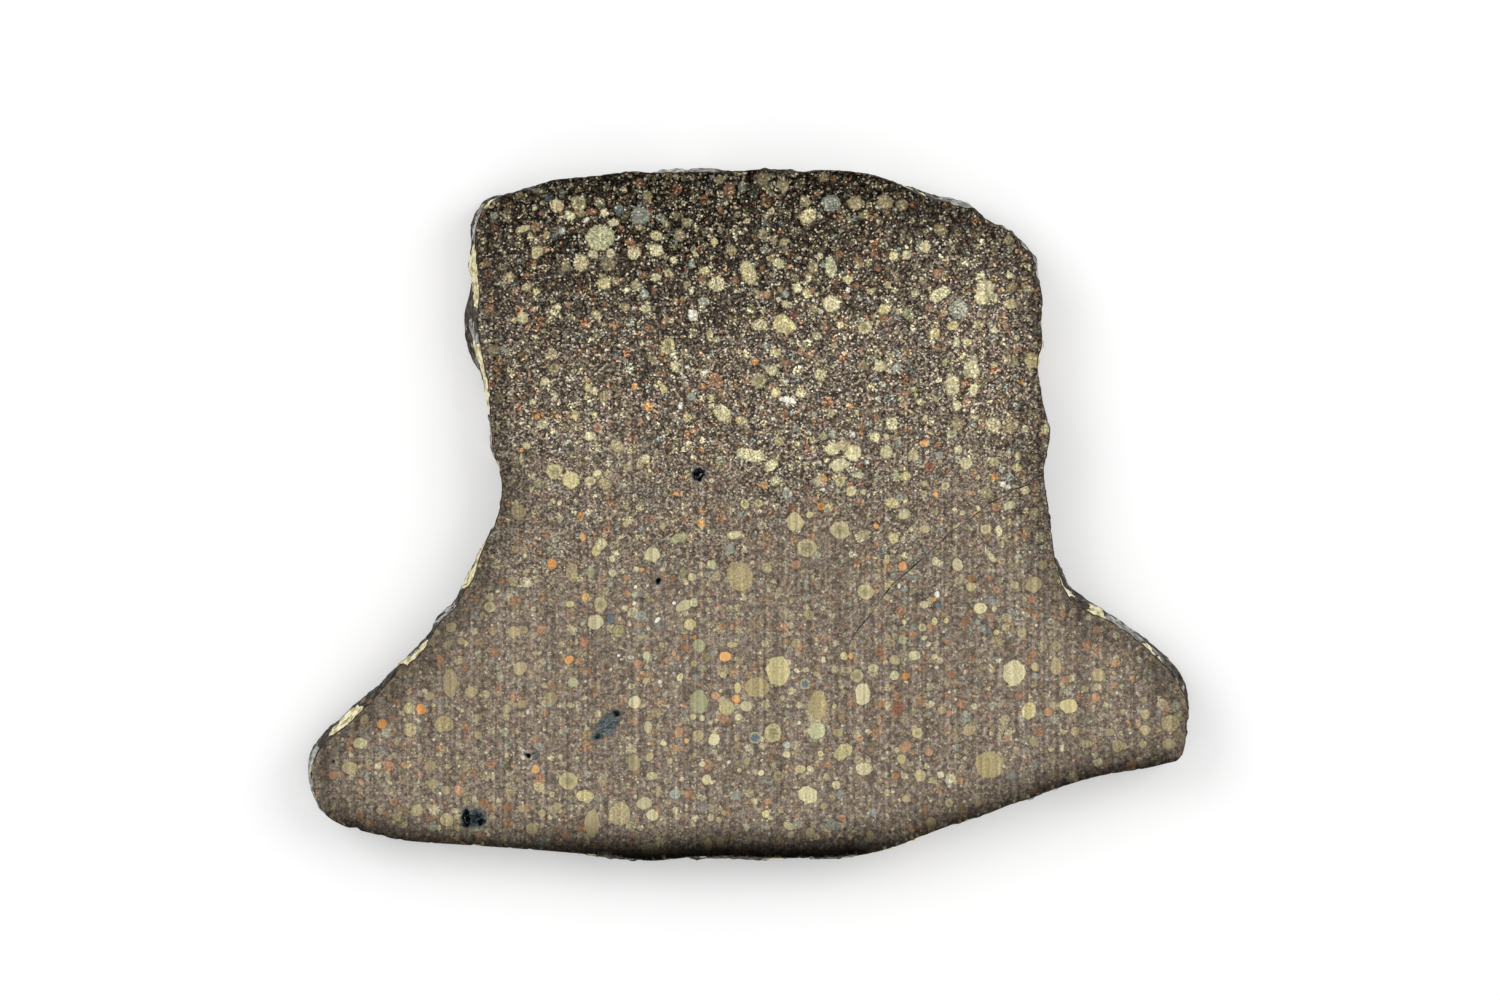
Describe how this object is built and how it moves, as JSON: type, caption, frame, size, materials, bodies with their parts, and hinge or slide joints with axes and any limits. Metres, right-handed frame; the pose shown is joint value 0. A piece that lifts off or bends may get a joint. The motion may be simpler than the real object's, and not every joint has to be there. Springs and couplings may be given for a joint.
{
  "type": "meteorite slice",
  "caption": "Flat slab sawn from a chondrite meteorite, hat-shaped in outline, with two parallel sawn faces and a rough natural rim.",
  "frame": {"origin": "on the lower sawn face, under the middle of the outline's box", "axes": "+X along the slice's length, towards the shorter, sharper foot; +Y from the wide base up to the straight crown; +Z out of the upper sawn face"},
  "size_m": [0.0557, 0.0436, 0.004],
  "materials": {
    "chondrite": "sawn, matt, dark grey-brown with pale round grains"
  },
  "bodies": {
    "root": {"meteorite_slice": "chondrite"}
  },
  "joints": []
}
